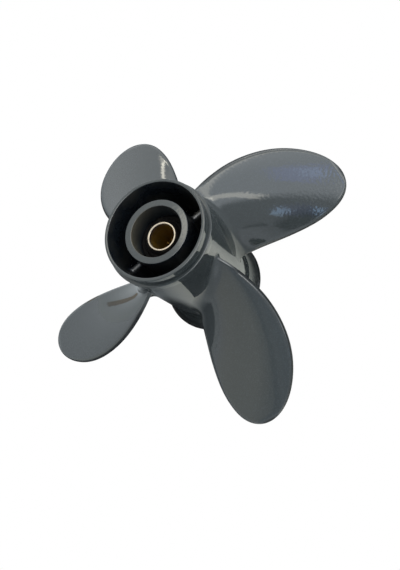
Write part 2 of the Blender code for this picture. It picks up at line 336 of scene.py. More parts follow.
def flare_profile(s):
    """The flare's outer and inner side: arcs about one centre, tangent to the barrel."""
    steps = 14
    sweep = 2 * math.atan2(s.flare_radius - s.barrel_radius, s.flare_length)
    bend = s.flare_length / math.sin(sweep)
    barrel_wall = s.barrel_radius - s.duct_radius
    outside = []
    inside = []
    for i in range(steps + 1):
        angle = sweep * i / steps
        wall = barrel_wall + (s.flare_wall - barrel_wall) * i / steps
        radius = s.barrel_radius + bend * (1 - math.cos(angle))
        height = s.flare_length - bend * math.sin(angle)
        if height > s.flare_round * 1.4:
            outside.append((radius, height))
        if height > wall * math.sin(angle):
            inside.append((radius - wall * math.cos(angle), height - wall * math.sin(angle)))
    last_radius, last_height = inside[-1]
    foot = (last_radius + last_height / math.tan(math.pi / 2 - sweep), 0.0)
    edge = arc(s.flare_radius - s.flare_round, s.flare_round, s.flare_round, 35, -90, 8)
    return outside + edge, [foot] + inside[::-1]


def hub_profile(s, edge):
    """The inner hub: a plain tube with small roundings."""
    top = RIM_HEIGHT - s.recess
    points = arc(s.outer_radius - edge, top - edge, edge, 90, 0, 3)
    points += line(points[-1], (s.outer_radius, s.rear + edge), 24)[1:]
    points += arc(s.outer_radius - edge, s.rear + edge, edge, 0, -90, 3)
    points += arc(s.bore_radius + edge, s.rear + edge, edge, -90, -180, 3)
    points += line(points[-1], (s.bore_radius, top - edge), 24)[1:]
    points += arc(s.bore_radius + edge, top - edge, edge, 180, 90, 3)
    # Points beside the roundings keep the front face flat where normals are smoothed
    return points + [(s.bore_radius + edge * 2, top), (s.outer_radius - edge * 2, top)]


def smooth_table(place, places, values):
    """Value at a place along the blade, by a cubic through the nearest table points."""
    last = len(places) - 1
    i = max(j for j in range(last) if places[j] <= place or j == 0)

    def slope(j):
        low = max(j - 1, 0)
        high = min(j + 1, last)
        return (values[high] - values[low]) / (places[high] - places[low])

    width = places[i + 1] - places[i]
    t = (place - places[i]) / width
    start = values[i] * (1 + 2 * t) * (1 - t) ** 2 + slope(i) * width * t * (1 - t) ** 2
    end = values[i + 1] * t * t * (3 - 2 * t) + slope(i + 1) * width * t * t * (t - 1)
    return start + end


def blade_place(s, radius, along, off, angle):
    """A point of the blade: along its helical section, and off it towards the front."""
    out = radius - s.root_radius
    pitch = s.pitch - s.pitch_washout * out / (s.tip_radius - s.root_radius)
    slope = math.atan2(pitch, 2 * math.pi * radius)
    turned = angle + (along * math.cos(slope) - off * math.sin(slope)) / radius
    height = s.height + along * math.sin(slope) + off * math.cos(slope)
    height -= RAKE_CURVE * out**2
    return Vector((radius * math.cos(turned), radius * math.sin(turned), height))


def section_point(s, radius, phase):
    """Along and off of the section's outline at one radius; the phase runs once round it."""
    reach = s.tip_radius - s.root_radius
    span = min((radius - s.root_radius) / reach, 1.0)
    fullness = max(1 - max(span, 0.0) ** TIP_ROUNDNESS, 0.0)
    chord = smooth_table(span, HALF_CHORD_PLACES, HALF_CHORDS)
    across = -math.cos(phase)
    inside = fullness * (1 - across**2)
    slope_along = 2 * across * math.sqrt(fullness) / chord
    slope_out = TIP_ROUNDNESS * max(span, 0.0) ** (TIP_ROUNDNESS - 1) / reach
    from_edge = inside / max(math.hypot(slope_along, slope_out), 1e-6)
    edge = s.edge_thickness / 2
    depth = min(from_edge, edge)
    rounded = math.sqrt(max(edge**2 - (edge - depth) ** 2, 0.0))
    thinned = max(span, 0.0) ** THINNING
    thickest = s.root_thickness + (s.tip_thickness - s.root_thickness) * thinned
    body = (thickest - s.edge_thickness) * inside
    off = rounded + body * FRONT_SHARE
    if math.sin(phase) < 0:
        off = -rounded - body * (1 - FRONT_SHARE)
    along = smooth_table(span, SKEW_PLACES, SKEWS) + chord * math.sqrt(fullness) * across
    return along, off


def fillet_size(s, phase):
    """Radius of the root fillet round the section: wide on the faces, tighter at the edges."""
    across = -math.cos(phase)
    edge = s.front_fillet if across > 0 else s.rear_fillet
    return s.face_fillet + (edge - s.face_fillet) * abs(across) ** 5


def blade_loops(s, barrel_radius, angle):
    """Rings of points from inside the barrel's wall, up the fillet and out to the tip."""
    around = 112
    fillet_rows = 10
    span_rows = 52
    sunk = 1.5 * MM
    phase_step = 0.01
    loops = []
    for row in range(-1, fillet_rows + span_rows + 1):
        ring = []
        for i in range(around):
            phase = 2 * math.pi * (i + 0.5) / around
            fillet = fillet_size(s, phase)
            lift = max(min(row / fillet_rows, 1.0), 0.0) * math.pi / 2
            radius = barrel_radius + fillet * (1 - math.cos(lift))
            swell = fillet * (1 - math.sin(lift))
            if row < 0:
                radius -= sunk
            elif row > fillet_rows:
                t = (row - fillet_rows) / span_rows
                radius += (s.tip_radius - radius) * (1 - (1 - t) ** 2)
            along, off = section_point(s, radius, phase)
            if swell > 0:
                back = section_point(s, radius, phase - phase_step)
                ahead = section_point(s, radius, phase + phase_step)
                normal = Vector((back[1] - ahead[1], ahead[0] - back[0])).normalized()
                along += normal.x * swell
                off += normal.y * swell
            ring.append(blade_place(s, radius, along, off, angle))
        loops.append(ring)
    return loops


def loft(bm, loops, closed=False):
    """Extrudes a ring of points through the others; joins the last to the first, or caps both."""
    verts = [bm.verts.new(point) for point in loops[0]]
    edges = [bm.edges.new(pair) for pair in zip(verts, verts[1:] + verts[:1])]
    first = list(edges)
    ring = verts
    for points in loops[1:]:
        grown = bmesh.ops.extrude_edge_only(bm, edges=edges)["geom"]
        edges = [item for item in grown if isinstance(item, bmesh.types.BMEdge)]
        old = {v.co.to_tuple(9): k for k, v in enumerate(ring)}
        fresh = [item for item in grown if isinstance(item, bmesh.types.BMVert)]
        ring = sorted(fresh, key=lambda v: old[v.co.to_tuple(9)])
        ahead = set(ring)
        edges = [e for e in edges if e.verts[0] in ahead and e.verts[1] in ahead]
        for vertex, point in zip(ring, points):
            vertex.co = point
    if closed:
        bmesh.ops.bridge_loops(bm, edges=first + edges)
    else:
        bmesh.ops.contextual_create(bm, geom=first)
        bmesh.ops.contextual_create(bm, geom=edges)


def rib_mesh(bm, barrel, hub, angle):
    """A web between the inner hub and the barrel, thicker where it runs into their walls."""
    sunk = 1.0 * MM
    inner = hub.outer_radius - sunk
    outer = barrel.duct_radius + sunk
    top = RIM_HEIGHT - hub.rib_recess
    cube = bmesh.ops.create_cube(bm, size=1.0)["verts"]
    reach = outer - inner
    height = top - hub.rib_rear
    bmesh.ops.scale(bm, verts=cube, vec=(reach, hub.rib_thickness, height))

    def long_edges():
        return [e for e in bm.edges if abs(e.verts[0].co.x - e.verts[1].co.x) > reach / 2]

    bmesh.ops.bevel(
        bm,
        geom=long_edges(),
        offset=hub.rib_thickness * 0.45,
        segments=5,
        profile=0.5,
        affect="EDGES",
        material=-1,
    )
    bmesh.ops.subdivide_edges(bm, edges=long_edges(), cuts=18, use_grid_fill=True)
    for vertex in bm.verts:
        gap = reach / 2 - sunk - abs(vertex.co.x)
        if gap < hub.rib_fillet:
            rest = hub.rib_fillet - max(gap, 0.0)
            swell = hub.rib_fillet - math.sqrt(max(hub.rib_fillet**2 - rest**2, 0.0))
            if abs(vertex.co.y) > 0.01 * MM:
                vertex.co.y += math.copysign(swell, vertex.co.y)
            if abs(vertex.co.z) > height * 0.4:
                vertex.co.z += math.copysign(swell, vertex.co.z)
    middle = Vector(((inner + outer) / 2, 0, (top + hub.rib_rear) / 2))
    place = Matrix.Rotation(angle, 4, "Z") @ Matrix.Translation(middle)
    bmesh.ops.transform(bm, matrix=place, verts=bm.verts)


def helper_object(name, make):
    """A closed mesh that is joined to the casting and then removed."""
    bm = bmesh.new()
    make(bm)
    clean(bm)
    return object_from(bm, name)


def joined(target, others):
    """Mesh of the target united with the others; all of the objects are removed."""
    for other in others:
        union = target.modifiers.new(other.name, "BOOLEAN")
        union.operation = "UNION"
        union.object = other
    graph = bpy.context.evaluated_depsgraph_get()
    mesh = bpy.data.meshes.new_from_object(target.evaluated_get(graph))
    bm = bmesh.new()
    bm.from_mesh(mesh)
    bpy.data.meshes.remove(mesh)
    for obj in [target, *others]:
        old = obj.data
        bpy.data.objects.remove(obj)
        bpy.data.meshes.remove(old)
    return bm


def wire(tree, target, **inputs):
    """Sets a node's inputs; one that is given a socket is linked to it."""
    for name, value in inputs.items():
        place = int(name[1:]) if name[1:].isdigit() else name.replace("_", " ")
        if isinstance(value, bpy.types.NodeSocket):
            tree.links.new(value, target.inputs[place])
        else:
            target.inputs[place].default_value = value


def node(tree, kind, settings=None, **inputs):
    """Adds a shader node with its settings and inputs; i0 is its first input."""
    made = tree.nodes.new("ShaderNode" + kind)
    for name, value in (settings or {}).items():
        setattr(made, name, value)
    wire(tree, made, **inputs)
    return made


def mixed(tree, factor, first, second):
    """Colour between two colours, each a socket or a value."""
    mix = node(tree, "Mix", {"data_type": "RGBA"}, i0=factor, i6=first, i7=second)
    return mix.outputs[2]


def new_material(name, **inputs):
    """A material whose Principled shader has these uniform values, and its Object coordinates."""
    material = bpy.data.materials.new(name)
    material.use_nodes = True
    tree = material.node_tree
    shader = tree.nodes["Principled BSDF"]
    wire(tree, shader, **inputs)
    return material, tree, shader, node(tree, "TexCoord").outputs["Object"]


def drifting_roughness(tree, shader, cloud, smooth, rough):
    """Roughness that drifts between two values with a cloudy pattern."""
    drift = node(tree, "MapRange", Value=cloud, From_Min=0.3, From_Max=0.7, To_Min=smooth, To_Max=rough)
    wire(tree, shader, Roughness=drift.outputs["Result"])


def grey_enamel(colours):
    """Sprayed acrylic enamel with fine aluminium flake under a clear coat, on cast aluminium."""
    # The clear coat mirrors the room sharply over a dark blue-grey, and the flake glints at lamps.
    material, tree, shader, coords = new_material(
        "sprayed grey enamel", Specular_IOR_Level=0.0, Coat_Roughness=0.05
    )
    # Drifts of paint thickness, about 45 mm across
    drift = node(tree, "TexNoise", Vector=coords, Scale=1 / (45 * MM), Detail=3.0)
    body = mixed(tree, drift.outputs["Fac"], linear(colours.enamel), linear(colours.enamel_light))
    # Real flake is 0.03 mm; it is drawn 0.6 mm wide so that a fine grain shows
    flake = node(tree, "TexVoronoi", Vector=coords, Scale=1 / (0.6 * MM))
    shares = node(tree, "SeparateColor", Color=flake.outputs["Color"])
    glint = node(
        tree, "MapRange", Value=shares.outputs["Red"], From_Min=0.6, To_Max=0.025
    ).outputs["Result"]
    body = mixed(tree, glint, body, linear(colours.flake))
    # Noise of about 3 mm breaks up the painted dark shade along the edges
    painted_shade_share = node(tree, "Attribute", {"attribute_name": "painted_shade"}).outputs["Fac"]
    breakup_noise = node(tree, "TexNoise", Vector=coords, Scale=1 / (3 * MM), Detail=4.0).outputs["Fac"]
    broken = node(tree, "MapRange", Value=breakup_noise, From_Min=0.3, From_Max=0.6, To_Min=0.8)
    painted_shade_share = node(tree, "Math", {"operation": "MULTIPLY"}, i0=painted_shade_share, i1=broken.outputs["Result"])
    # Painted shade: the blades' edges and the flare's outer half are darkened and lose most of their
    # clear coat
    body = mixed(tree, painted_shade_share.outputs["Value"], body, linear(colours.painted_edge_shade))
    metal = node(tree, "Math", {"operation": "MULTIPLY"}, i0=glint, i1=1.6).outputs["Value"]
    gloss = node(tree, "MapRange", Value=painted_shade_share.outputs["Value"], To_Min=1.0, To_Max=0.1)
    wire(tree, shader, Base_Color=body, Metallic=metal, Coat_Weight=gloss.outputs["Result"])
    drifting_roughness(tree, shader, drift.outputs["Fac"], 0.36, 0.46)
    # Orange peel of the sprayed coat, about 2.4 mm from bump to bump and rougher on one side
    peel = node(tree, "TexNoise", Vector=coords, Scale=1 / (2.4 * MM), Detail=0.5)
    place = node(tree, "SeparateXYZ", Vector=coords)
    depth = node(
        tree,
        "MapRange",
        Value=place.outputs["X"],
        From_Min=20 * MM,
        From_Max=95 * MM,
        To_Min=0.04 * MM,
        To_Max=0.1 * MM,
    )
    skin = node(
        tree, "Bump", Strength=0.5, Distance=depth.outputs["Result"], Height=peel.outputs["Fac"]
    )
    # Cast edges are blunt: the coat rolls over for a few millimetres before the edge itself
    rim = node(tree, "Attribute", {"attribute_name": "rim"}).outputs["Fac"]
    roll = node(tree, "Math", {"operation": "POWER"}, i0=rim, i1=3.0)
    skin = node(
        tree,
        "Bump",
        {"invert": True},
        Strength=1.0,
        Distance=ROLL_DEPTH,
        Height=roll.outputs["Value"],
        Normal=skin.outputs["Normal"],
    )
    # Each flake lies a little askew
    tilt = node(tree, "Bump", Strength=0.3, Distance=0.05 * MM, Height=shares.outputs["Green"])
    wire(tree, shader, Coat_Normal=skin.outputs["Normal"], Normal=tilt.outputs["Normal"])
    return material


def duct_painted_shade(colours):
    """Near-black on the as-cast walls of the exhaust duct: painted shade for the deep, unlit duct."""
    # Almost black and half gloss, with a cast skin that breaks the reflections up.
    material, tree, shader, coords = new_material("near-black painted duct shade", Specular_IOR_Level=0.5)
    # Sand-cast skin under the paint, grains of about 1.2 mm
    grain = node(tree, "TexNoise", Vector=coords, Scale=1 / (1.2 * MM), Detail=3.0)
    cloud = node(tree, "TexNoise", Vector=coords, Scale=1 / (18 * MM), Detail=2.0)
    thin = node(tree, "MapRange", Value=cloud.outputs["Fac"], From_Min=0.45, From_Max=0.8, To_Max=0.35)
    paint = mixed(tree, thin.outputs["Result"], linear(colours.painted_deep_shade), linear(colours.bore))
    drifting_roughness(tree, shader, cloud.outputs["Fac"], 0.22, 0.38)
    skin = node(tree, "Bump", Strength=0.35, Distance=0.05 * MM, Height=grain.outputs["Fac"])
    wire(tree, shader, Base_Color=paint, Normal=skin.outputs["Normal"])
    return material


def bore_with_painted_shade(colours):
    """Machined aluminium bore in brown-grey, with painted shade deep down and on one side."""
    # Satin brown-grey with faint rings from the boring tool, with painted shade that darkens it the
    # deeper it lies.
    material, tree, shader, coords = new_material("hub bore with painted shade", Specular_IOR_Level=0.35)
    place = node(tree, "SeparateXYZ", Vector=coords)
    # Painted shade: darker the deeper the wall lies
    height = node(
        tree,
        "MapRange",
        Value=place.outputs["Z"],
        From_Min=RIM_HEIGHT - 22 * MM,
        From_Max=RIM_HEIGHT - 6 * MM,
    )
    # Painted light and shade: lighter on the bore's -X side, darker towards +X
    side = node(
        tree, "MapRange", Value=place.outputs["X"], From_Min=2 * MM, From_Max=-20 * MM, To_Min=0.1
    )
    painted_light_mask = node(
        tree, "Math", {"operation": "MULTIPLY"}, i0=height.outputs["Result"], i1=side.outputs["Result"]
    )
    shade = mixed(tree, painted_light_mask.outputs["Value"], linear(colours.painted_deep_shade), linear(colours.bore))
    # Dusty patches about 9 mm across
    cloud = node(tree, "TexNoise", Vector=coords, Scale=1 / (9 * MM), Detail=3.0)
    dust = node(tree, "MapRange", Value=cloud.outputs["Fac"], From_Min=0.4, From_Max=0.8, To_Max=0.3)
    shade = mixed(tree, dust.outputs["Result"], shade, linear(colours.enamel_light))
    drifting_roughness(tree, shader, cloud.outputs["Fac"], 0.4, 0.55)
    # Tool rings 0.25 mm apart in the real bore, drawn 0.8 mm apart so that they show
    rings = node(
        tree,
        "TexWave",
        {"bands_direction": "Z"},
        Vector=coords,
        Scale=WAVE_PERIOD / (0.8 * MM),
        Distortion=0.4,
    )
    skin = node(tree, "Bump", Strength=0.3, Distance=0.03 * MM, Height=rings.outputs["Fac"])
    wire(tree, shader, Base_Color=shade, Normal=skin.outputs["Normal"])
    return material


def moulded_rubber(colours):
    """Black rubber, moulded between the hub and the sleeve."""
    # Matt and nearly black, with dusty patches and a faint sheen on its rounded edges.
    material, tree, shader, coords = new_material(
        "moulded black rubber", Specular_IOR_Level=0.04, Sheen_Weight=0.01
    )
    dust = node(tree, "TexNoise", Vector=coords, Scale=1 / (7 * MM), Detail=4.0)
    bloom = node(tree, "MapRange", Value=dust.outputs["Fac"], From_Min=0.5, From_Max=0.8, To_Max=0.12)
    tint = mixed(tree, bloom.outputs["Result"], linear(colours.rubber), linear(colours.bore))
    drifting_roughness(tree, shader, dust.outputs["Fac"], 0.42, 0.62)
    # Skin of the mould, pits of about 0.6 mm
    pits = node(tree, "TexVoronoi", Vector=coords, Scale=1 / (0.6 * MM))
    skin = node(tree, "Bump", Strength=0.25, Distance=0.04 * MM, Height=pits.outputs["Distance"])
    wire(tree, shader, Base_Color=tint, Normal=skin.outputs["Normal"])
    return material


def turned_brass(colours):
    """Turned brass, bright on its front face and dull brown down the bore."""
    # Pale gold with the fine rings of the lathe tool and a brown tarnish where no hand reaches.
    material, tree, shader, coords = new_material("turned brass", Metallic=1.0)
    place = node(tree, "SeparateXYZ", Vector=coords)
    deep = node(
        tree,
        "MapRange",
        Value=place.outputs["Z"],
        From_Min=SLEEVE_FRONT - 0.4 * MM,
        From_Max=SLEEVE_FRONT - 6 * MM,
    )
    # Patches of tarnish about 5 mm across
    cloud = node(tree, "TexNoise", Vector=coords, Scale=1 / (5 * MM), Detail=4.0)
    stain = node(tree, "MapRange", Value=cloud.outputs["Fac"], From_Min=0.3, From_Max=0.7, To_Min=0.7)
    dull = node(
        tree, "Math", {"operation": "MULTIPLY"}, i0=deep.outputs["Result"], i1=stain.outputs["Result"]
    )
    tint = mixed(tree, dull.outputs["Value"], linear(colours.brass), linear(colours.tarnish))
    rough = node(tree, "MapRange", Value=dull.outputs["Value"], To_Min=0.3, To_Max=0.55)
    wire(tree, shader, Base_Color=tint, Roughness=rough.outputs["Result"])
    # Tool rings 0.1 mm apart on the real face, drawn 0.4 mm apart so that they show
    rings = node(
        tree,
        "TexWave",
        {"wave_type": "RINGS", "rings_direction": "Z"},
        Vector=coords,
        Scale=WAVE_PERIOD / (0.4 * MM),
    )
    skin = node(tree, "Bump", Strength=0.1, Distance=0.01 * MM, Height=rings.outputs["Fac"])
    wire(tree, shader, Normal=skin.outputs["Normal"])
    return material


def near_edge(s, point, width, soft):
    """1 along a blade's edge, 0 further in than the width, fading over a soft share of it."""
    radius = math.hypot(point.x, point.y)
    out = radius - s.root_radius
    share = out / (s.tip_radius - s.root_radius)
    if share < EDGE_START:
        return 0.0
    sector = 2 * math.pi / BLADE_COUNT
    turned = (math.atan2(point.y, point.x) - BLADE_ANGLE + sector / 2) % sector - sector / 2
    slope = math.atan2(s.pitch - s.pitch_washout * share, 2 * math.pi * radius)
    across = turned * radius
    rise = point.z - s.height + RAKE_CURVE * out**2
    along = across * math.cos(slope) + rise * math.sin(slope)
    fullness = math.sqrt(max(1 - min(share, 1.0) ** TIP_ROUNDNESS, 0.0))
    half = smooth_table(min(share, 1.0), HALF_CHORD_PLACES, HALF_CHORDS) * fullness
    skew = smooth_table(min(share, 1.0), SKEW_PLACES, SKEWS)
    from_edge = min(half - abs(along - skew), s.tip_radius - radius)
    fade = (width - from_edge) / (width * soft)
    return max(min(fade, 1.0), 0.0) * min((share - EDGE_START) / EDGE_FADE, 1.0)


def flare_painted_shade(s, point):
    """How much painted shade darkens the flare at a point: full over its outer half, nothing on the
    barrel.
    """
    radius = math.hypot(point.x, point.y)
    if point.z > s.flare_length or radius > s.flare_radius + 1 * MM:
        return 0.0
    share = (radius - s.barrel_radius) / (s.flare_radius - s.barrel_radius)
    return max(min((share - 0.2) / 0.35, 1.0), 0.0)


def bush_profile(s, bore_radius, sleeve_radius):
    """Rubber: lip round the sleeve, shoulder, groove against the hub, and the long body behind."""
    top = RIM_HEIGHT
    inner = sleeve_radius + s.seat_gap
    outer = bore_radius - s.seat_gap
    lip = (s.nose_radius - inner) / 2
    points = arc(inner + lip, top - s.nose_recess - lip, lip, 180, 0, 6)
    shoulder_round = 1.6 * MM
    across = s.shoulder_radius - shoulder_round
    shoulder = top - s.shoulder_recess
    points += line(points[-1], (across, shoulder), 4)[1:]
    points += arc(across, shoulder - shoulder_round, shoulder_round, 90, 0, 8)
    groove_round = 1.2 * MM
    groove = top - s.groove_recess
    points += arc(s.shoulder_radius + groove_round, groove + groove_round, groove_round, 180, 270, 6)
    wall_round = 0.4 * MM
    wall = groove + 0.3 * MM
    points += line(points[-1], (outer - wall_round, wall), 4)[1:]
    points += arc(outer - wall_round, wall - wall_round, wall_round, 90, 0, 3)
    rear = BUSH_REAR + s.rear_round
    points += line(points[-1], (outer, rear), 30)[1:]
    points += arc(outer - s.rear_round, rear, s.rear_round, 0, -90, 6)
    return points + line((inner, BUSH_REAR), points[0], 30)


def sleeve_rings(s):
    """Rings of the sleeve: up the splined and the smooth bore, over the front face, down outside."""
    around = SPLINE_COUNT * STEPS_PER_SPLINE
    top = SLEEVE_FRONT
    low = SLEEVE_REAR
    start = top - s.spline_depth
    run_out = 1.5 * MM
    splined = [(low, 1.0), (low + 4 * MM, 1.0), (start - 12 * MM, 1.0), (start - run_out, 1.0)]
    splined += [(start - run_out * 0.5, 0.5), (start, 0.0)]
    rings = []
    for height, share in splined:
        ring = []
        for i in range(around):
            angle = 2 * math.pi * i / around
            wave = math.cos(angle * SPLINE_COUNT)
            tooth = max(min(0.5 + 1.6 * wave, 1.0), 0.0)
            radius = s.root_radius + (s.tip_radius - s.root_radius) * tooth
            radius = s.bore_radius + (radius - s.bore_radius) * share
            ring.append(Vector((radius * math.cos(angle), radius * math.sin(angle), height)))
        rings.append(ring)
    tube = [(s.bore_radius, start + 10 * MM), (s.bore_radius, top - s.chamfer)]
    tube += [(s.bore_radius + s.chamfer, top), (s.radius - s.chamfer, top), (s.radius, top - s.chamfer)]
    tube += [(s.radius, low + (top - low) * share) for share in (0.66, 0.33)]
    tube += [(s.radius, low + s.chamfer), (s.radius - s.chamfer, low)]
    for radius, height in tube:
        angles = [2 * math.pi * i / around for i in range(around)]
        rings.append([Vector((radius * math.cos(a), radius * math.sin(a), height)) for a in angles])
    return rings


class PROPELLER_OT_casting(bpy.types.Operator):
    """Model the one-piece casting: barrel, inner hub, ribs and blades"""

    bl_idname = "propeller.casting"
    bl_label = "Casting"

    def execute(self, context):
        scene = context.scene
        barrel = scene.propeller_barrel
        hub = scene.propeller_hub
        blades = scene.propeller_blades
        colours = scene.propeller_colours
        outside = barrel_profile(barrel)
        inside = hub_profile(hub, barrel.edge_round)
        body = helper_object("barrel", lambda bm: turn(bm, outside, BARREL_STEPS))
        others = [helper_object("inner_hub", lambda bm: turn(bm, inside, INNER_STEPS))]
        for i in range(RIB_COUNT):
            angle = RIB_ANGLE + i * 2 * math.pi / RIB_COUNT
            others.append(helper_object(f"rib_{i}", lambda bm: rib_mesh(bm, barrel, hub, angle)))
        for i in range(BLADE_COUNT):
            angle = BLADE_ANGLE + i * 2 * math.pi / BLADE_COUNT
            loops = blade_loops(blades, barrel.barrel_radius, angle)
            others.append(helper_object(f"blade_{i}", lambda bm: loft(bm, loops)))
        bm = joined(body, others)
        painted_shade = bm.verts.layers.float.new("painted_shade")
        rim = bm.verts.layers.float.new("rim")
        # Painted shade: a dark line along the blades' edges and over the flare's outer half
        for vertex in bm.verts:
            edge_shade = near_edge(blades, vertex.co, DARK_EDGE_WIDTH, DARK_EDGE_SOFTNESS)
            vertex[painted_shade] = max(edge_shade, flare_painted_shade(barrel, vertex.co))
            vertex[rim] = near_edge(blades, vertex.co, ROLL_WIDTH, 1.0)
        for face in bm.faces:
            face.material_index = casting_paint(face, barrel, hub)
        # In the order of ENAMEL, DUCT_PAINTED_SHADE and BORE_PAINTED_SHADE
        materials = [grey_enamel(colours), duct_painted_shade(colours), bore_with_painted_shade(colours)]
        piece_from(bm, "propeller_casting", materials, "casting")
        return {"FINISHED"}


def casting_paint(face, barrel, hub):
    """Which paint a face carries: enamel, near-black painted shade in the duct and inside the flare, or
    the bore's colour with its painted shade.
    """
    middle = face.calc_center_median()
    radius = math.hypot(middle.x, middle.y)
    inwards = face.normal.x * middle.x + face.normal.y * middle.y < 0
    edge = barrel.edge_round
    if radius < hub.bore_radius + edge:
        return BORE_PAINTED_SHADE
    if middle.z < barrel.flare_length and inwards:
        return DUCT_PAINTED_SHADE
    if radius > hub.outer_radius + 1 * MM:
        below_rim = middle.z < RIM_HEIGHT - edge * 0.5
        return DUCT_PAINTED_SHADE if below_rim and radius < barrel.duct_radius + edge * 0.5 else ENAMEL
    return DUCT_PAINTED_SHADE if middle.z < RIM_HEIGHT - hub.recess - edge * 1.2 else ENAMEL


class PROPELLER_OT_bush(bpy.types.Operator):
    """Model the rubber bush between the inner hub and the sleeve"""

    bl_idname = "propeller.bush"
    bl_label = "Rubber bush"

    def execute(self, context):
        scene = context.scene
        hub_bore = scene.propeller_hub.bore_radius
        bm = bmesh.new()
        profile = bush_profile(scene.propeller_bush, hub_bore, scene.propeller_sleeve.radius)
        turn(bm, profile, INNER_STEPS)
        rubber = moulded_rubber(scene.propeller_colours)
        piece_from(bm, "moulded_bush", [rubber], "rubber_bush")
        return {"FINISHED"}


class PROPELLER_OT_sleeve(bpy.types.Operator):
    """Model the splined brass sleeve"""

    bl_idname = "propeller.sleeve"
    bl_label = "Brass sleeve"

    def execute(self, context):
        scene = context.scene
        bm = bmesh.new()
        loft(bm, sleeve_rings(scene.propeller_sleeve), closed=True)
        brass = turned_brass(scene.propeller_colours)
        piece_from(bm, "splined_sleeve", [brass], "brass_sleeve")
        return {"FINISHED"}


def direction(azimuth, elevation):
    """Unit vector towards a place on the studio's dome, angles in degrees."""
    around = math.radians(azimuth)
    rise = math.radians(elevation)
    level = math.cos(rise)
    return Vector((math.cos(around) * level, math.sin(around) * level, math.sin(rise)))


def spot(tree, view, aim, inner, outer):
    """Mask round a direction: 1 inside one angle, 0 outside the other, angles in degrees."""
    along = node(tree, "VectorMath", {"operation": "DOT_PRODUCT"}, i0=view, i1=aim)
    mask = node(
        tree,
        "MapRange",
        {"interpolation_type": "SMOOTHSTEP"},
        Value=along.outputs["Value"],
        From_Min=math.cos(math.radians(outer)),
        From_Max=math.cos(math.radians(inner)),
    )
    return mask.outputs["Result"]


def lamp_mask(tree, view, start, end, inner, outer):
    """Mask of a lamp on the dome, round at its start or long up to its end, with a soft edge."""
    first = direction(*start)
    if end is None:
        return spot(tree, view, first, inner, outer)
    last = direction(*end)
    half = math.degrees(first.angle(last)) / 2
    middle = (first + last).normalized()
    side = first.cross(last).normalized()
    off = node(tree, "VectorMath", {"operation": "DOT_PRODUCT"}, i0=view, i1=side)
    off = node(tree, "Math", {"operation": "ABSOLUTE"}, i0=off.outputs["Value"])
    across = node(
        tree,
        "MapRange",
        {"interpolation_type": "SMOOTHSTEP"},
        Value=off.outputs["Value"],
        From_Min=math.sin(math.radians(outer)),
        From_Max=math.sin(math.radians(inner)),
    )
    lengthways = spot(tree, view, middle, half, half + outer)
    mask = node(tree, "Math", {"operation": "MULTIPLY"}, i0=across.outputs["Result"], i1=lengthways)
    return mask.outputs["Value"]


def studio_dome(light):
    """World light: a dim dome with soft lamps, seen by reflections and never by the camera."""
    world = bpy.data.worlds.new("studio")
    world.use_nodes = True
    tree = world.node_tree
    view = node(tree, "TexCoord").outputs["Generated"]
    total = Vector(COOL) * light.ambient
    # Azimuth and elevation of a lamp's start and end (none where it is round), the half widths that
    # its edge fades between, all in degrees, and its brightness and tint. A negative brightness is
    # a dark flag. The camera stands at about azimuth -45, elevation 61.
    lamps = (
        # Broad lamps that shade the barrel and the blades
        ((10, 45), None, 19, 27, light.key, COOL),
        ((80, 25), None, 24, 55, light.side, NEUTRAL),
        ((-154, 28), None, 10, 34, light.side * 0.24, AMBER),
        ((155, 8), None, 12, 40, light.side * 0.13, NEUTRAL),
        ((61, 26), None, 3, 9, light.side * 0.5, WARM),
        ((40, 82), None, 4, 21, light.overhead, NEUTRAL),
        ((138, 55), None, 6, 20, light.side * 0.55, WARM),
        # A small lamp that the inner hub's front face mirrors
        ((126.4, 59.4), None, 1.0, 5.0, light.strip * 0.38, WARM),
        # The bright line on the upper left blade
        ((75.6, 31.6), (67.6, 24.0), 0.2, 1.7, light.strip * 0.95, WARM),
        ((82, 33.6), (75.6, 31.6), 0.2, 1.6, light.strip * 0.4, WARM),
        # The large softbox's warm edges
        ((2, 35.0), (-21.5, 49), 1.6, 3.8, light.band * 1.1, WARM),
        ((3, 34.8), (27, 26.8), 1.0, 2.8, light.band * 1.4, WARM),
        ((8, 36), (50, 49), 1.4, 4.2, light.band * 0.8, WARM),
        # Bluish glints on the right blade
        ((-44, 51.5), (-50, 46), 0.8, 3.0, light.accent, BLUE),
        ((-44, 60.8), (-35, 62.8), 0.3, 1.0, light.accent * 1.5, BLUE),
        ((4, 59), (20, 57.5), 1.6, 3.2, light.accent * 0.4, VIOLET),
        ((-47, 50), (-40, 61), 1.0, 6.0, light.accent * 0.14, VIOLET),
        ((19, 58.5), (11, 60.3), 0.3, 1.2, light.accent * 0.5, BLUE),
        # A low lamp and flags that shape the lowest blade
        ((-72, 10), None, 8, 24, light.side * 0.35, COOL),
        ((-56.5, 18), (-61, 33), 0.5, 2.8, -light.flag, COOL),
        ((-122, 52), None, 8, 21, -light.flag * 0.6, WARM),
        ((-143, 53.5), (-123, 37.5), 0.5, 2.8, -light.flag * 0.4, WARM),
        ((-66, 42), (-46, 62), 1.0, 7.0, -light.flag * 1.5, COOL),
    )
    for start, end, inner, outer, brightness, tint in lamps:
        mask = lamp_mask(tree, view, start, end, inner, outer)
        full = Vector(tint) * brightness
        glow = node(tree, "VectorMath", {"operation": "SCALE"}, i0=full, Scale=mask)
        added = node(tree, "VectorMath", {"operation": "ADD"}, i0=total, i1=glow.outputs["Vector"])
        total = added.outputs["Vector"]
    wire(tree, tree.nodes["Background"], Color=total)
    return world


def stage_object(name, make, material):
    """A floor or backdrop mesh, which isn't part of the propeller."""
    bm = bmesh.new()
    make(bm)
    obj = object_from(bm, name)
    obj.data.materials.append(material)
    return obj


